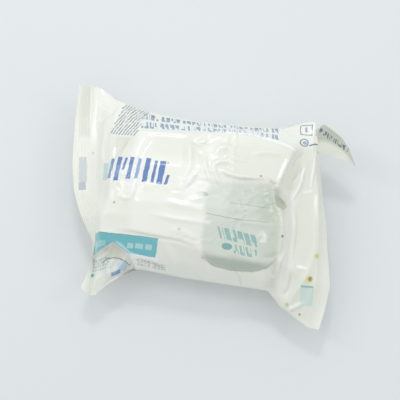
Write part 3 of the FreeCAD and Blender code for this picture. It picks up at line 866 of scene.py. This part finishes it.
class FILTERWRAP_OT_wrap(bpy.types.Operator):
    """Shape the film wrap over the cartridge: its seals, folds and crumples"""
    bl_idname = "filterwrap.wrap"
    bl_label = "Film wrap"

    def execute(self, context):
        sizes = context.scene.filter_wrap_sizes
        (front, back), film, marks = wrap_sheets(sizes)
        top = add_sheet("wrap_front", front, film, tuck=marks["tuck"], lines=marks["lines"])
        untucked = np.full(back.shape[:2], UNTUCKED)
        under = add_sheet("wrap_back", back, (film[0], film[1] + BACK_PRINT), tuck=untucked)
        moved = settle(top, marks["free"], sizes.growth / 100, sizes.most_moved / MM)
        front += moved.reshape(front.shape)
        back += outward(back) * marks["back_heights"][..., None]
        front[..., 2] += marks["heights"] + marks["ribs"]
        back[..., 2] = np.clip(back[..., 2] + marks["ribs"], 0, front[..., 2])
        # The cut edges of front and back are one line
        back[:, (0, -1)] = front[:, (0, -1)]
        for piece, points in ((top, front), (under, back)):
            piece.data.vertices.foreach_set("co", (points * MM).ravel())
        flip(under)
        piece = weld([top, under], "film_wrap")
        finish_piece(piece)
        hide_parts(NODE)
        return {"FINISHED"}


class FILTERWRAP_OT_corner(bpy.types.Operator):
    """Fold the loose corner out at the upper right"""
    bl_idname = "filterwrap.corner"
    bl_label = "Folded corner"

    def execute(self, context):
        gauge = context.scene.filter_wrap_sizes.corner_gauge / MM
        net = fine_net([CORNER_LOWER, CORNER_FOLD, CORNER_UPPER], [8] * 6, [10, 12], 2)
        film = film_lengths(net)
        upper = np.linspace(0, 1, net.shape[0])[:, None]
        along = np.linspace(0, 1, net.shape[1])[None]
        # Painted shade, heaviest on the upper facet near the root and fading towards the tip
        shade = (0.55 + 0.45 * soft(upper, 0.35, 0.55)) * (1 - 0.65 * along)
        top = add_sheet("corner_top", net, film, corner=shade)
        under = net.copy()
        under[1:-1, 1:-1, 2] -= gauge
        bottom = add_sheet("corner_under", under, (film[0], film[1] + BACK_PRINT),
                           corner=np.full(shade.shape, CORNER_UNDER_SHADE))
        flip(bottom)
        finish_piece(weld([top, bottom], "folded_corner"))
        return {"FINISHED"}


class FILTERWRAP_OT_stage(bpy.types.Operator):
    """Set the floor, the soft light and the camera"""
    bl_idname = "filterwrap.stage"
    bl_label = "Stage"

    def execute(self, context):
        stage = context.scene.filter_wrap_stage
        select()
        bpy.ops.mesh.primitive_plane_add(size=4.0, location=(0, 0, 0))
        floor = bpy.context.object
        floor.name = "floor"
        # Matt card: no gloss, so that it holds only the soft shadow
        mat = bpy.data.materials.new("Matt pale card")
        mat.use_nodes = True
        shader = mat.node_tree.nodes["Principled BSDF"]
        shader.inputs["Base Color"].default_value = tuple(stage.floor)
        shader.inputs["Roughness"].default_value = 0.9
        floor.data.materials.append(mat)

        world = bpy.data.worlds.new("Soft room")
        context.scene.world = world
        world.use_nodes = True
        tree = world.node_tree
        tree.nodes.clear()
        # The room is brightest overhead and dimmer towards the foot of the picture
        ray = node(tree, "TexCoord")
        height = node(tree, "VectorMath", "DOT_PRODUCT", ray.outputs["Generated"], ROOM_LIGHT)
        level = node(tree, "Math", "ADD", height.outputs["Value"], stage.room_level)
        light = node(tree, "Background", Color=tuple(stage.room), Strength=level)
        node(tree, "OutputWorld", Surface=light)

        for name, place, width, height, share in SOFTBOXES:
            bpy.ops.object.light_add(type="AREA", location=[c * MM for c in place])
            lamp = bpy.context.object
            lamp.name = name
            lamp.data.shape = "RECTANGLE"
            lamp.data.size, lamp.data.size_y = width * MM, height * MM
            lamp.data.energy = stage.key_power * share
            aim = Vector((0, 0, AIM[2] * MM)) - lamp.location
            lamp.rotation_euler = aim.to_track_quat("-Z", "Y").to_euler()

        t, r = CAMERA_TILT, CAMERA_ROLL
        right = Vector((math.cos(r), math.cos(t) * math.sin(r), math.sin(t) * math.sin(r)))
        up = Vector((-math.sin(r), math.cos(t) * math.cos(r), math.sin(t) * math.cos(r)))
        back = Vector((0, -math.sin(t), math.cos(t)))
        aim = (Vector((0, 0, AIM[2])) + right * AIM[0] + up * AIM[1]) * MM
        turn = Matrix((right, up, back)).transposed()
        bpy.ops.object.camera_add(location=aim + back * stage.distance, rotation=turn.to_euler())
        camera = bpy.context.object
        camera.name = "camera"
        camera.data.sensor_width = 36.0
        camera.data.lens = camera.data.sensor_width * stage.distance / stage.picture_width
        context.scene.camera = camera
        context.scene.view_settings.view_transform = "Standard"
        return {"FINISHED"}


class FILTERWRAP_PT_panel(bpy.types.Panel):
    """Sizes, colours and steps of the film wrap"""
    bl_idname = "FILTERWRAP_PT_panel"
    bl_label = "Film wrap"
    bl_space_type = "VIEW_3D"
    bl_region_type = "UI"
    bl_category = "Filter wrap"

    def draw(self, context):
        for title, group in (
            ("Sizes", context.scene.filter_wrap_sizes),
            ("Colours", context.scene.filter_wrap_colours),
            ("Stage", context.scene.filter_wrap_stage),
        ):
            box = self.layout.box()
            box.label(text=title)
            for name in group.__annotations__:
                box.prop(group, name)
        for operator in OPERATORS:
            self.layout.operator(operator.bl_idname)


GROUPS = {
    "filter_wrap_sizes": FilterWrapSizes,
    "filter_wrap_colours": FilterWrapColours,
    "filter_wrap_stage": FilterWrapStage,
}
OPERATORS = (FILTERWRAP_OT_wrap, FILTERWRAP_OT_corner, FILTERWRAP_OT_stage)
CLASSES = (*GROUPS.values(), *OPERATORS, FILTERWRAP_PT_panel)


def register():
    for made in CLASSES:
        bpy.utils.register_class(made)
    for name, group in GROUPS.items():
        setattr(bpy.types.Scene, name, PointerProperty(type=group))


def unregister():
    for name in GROUPS:
        delattr(bpy.types.Scene, name)
    for made in reversed(CLASSES):
        bpy.utils.unregister_class(made)


def main():
    register()
    bpy.ops.filterwrap.wrap()
    bpy.ops.filterwrap.corner()
    bpy.ops.filterwrap.stage()


if __name__ == "__main__":
    main()
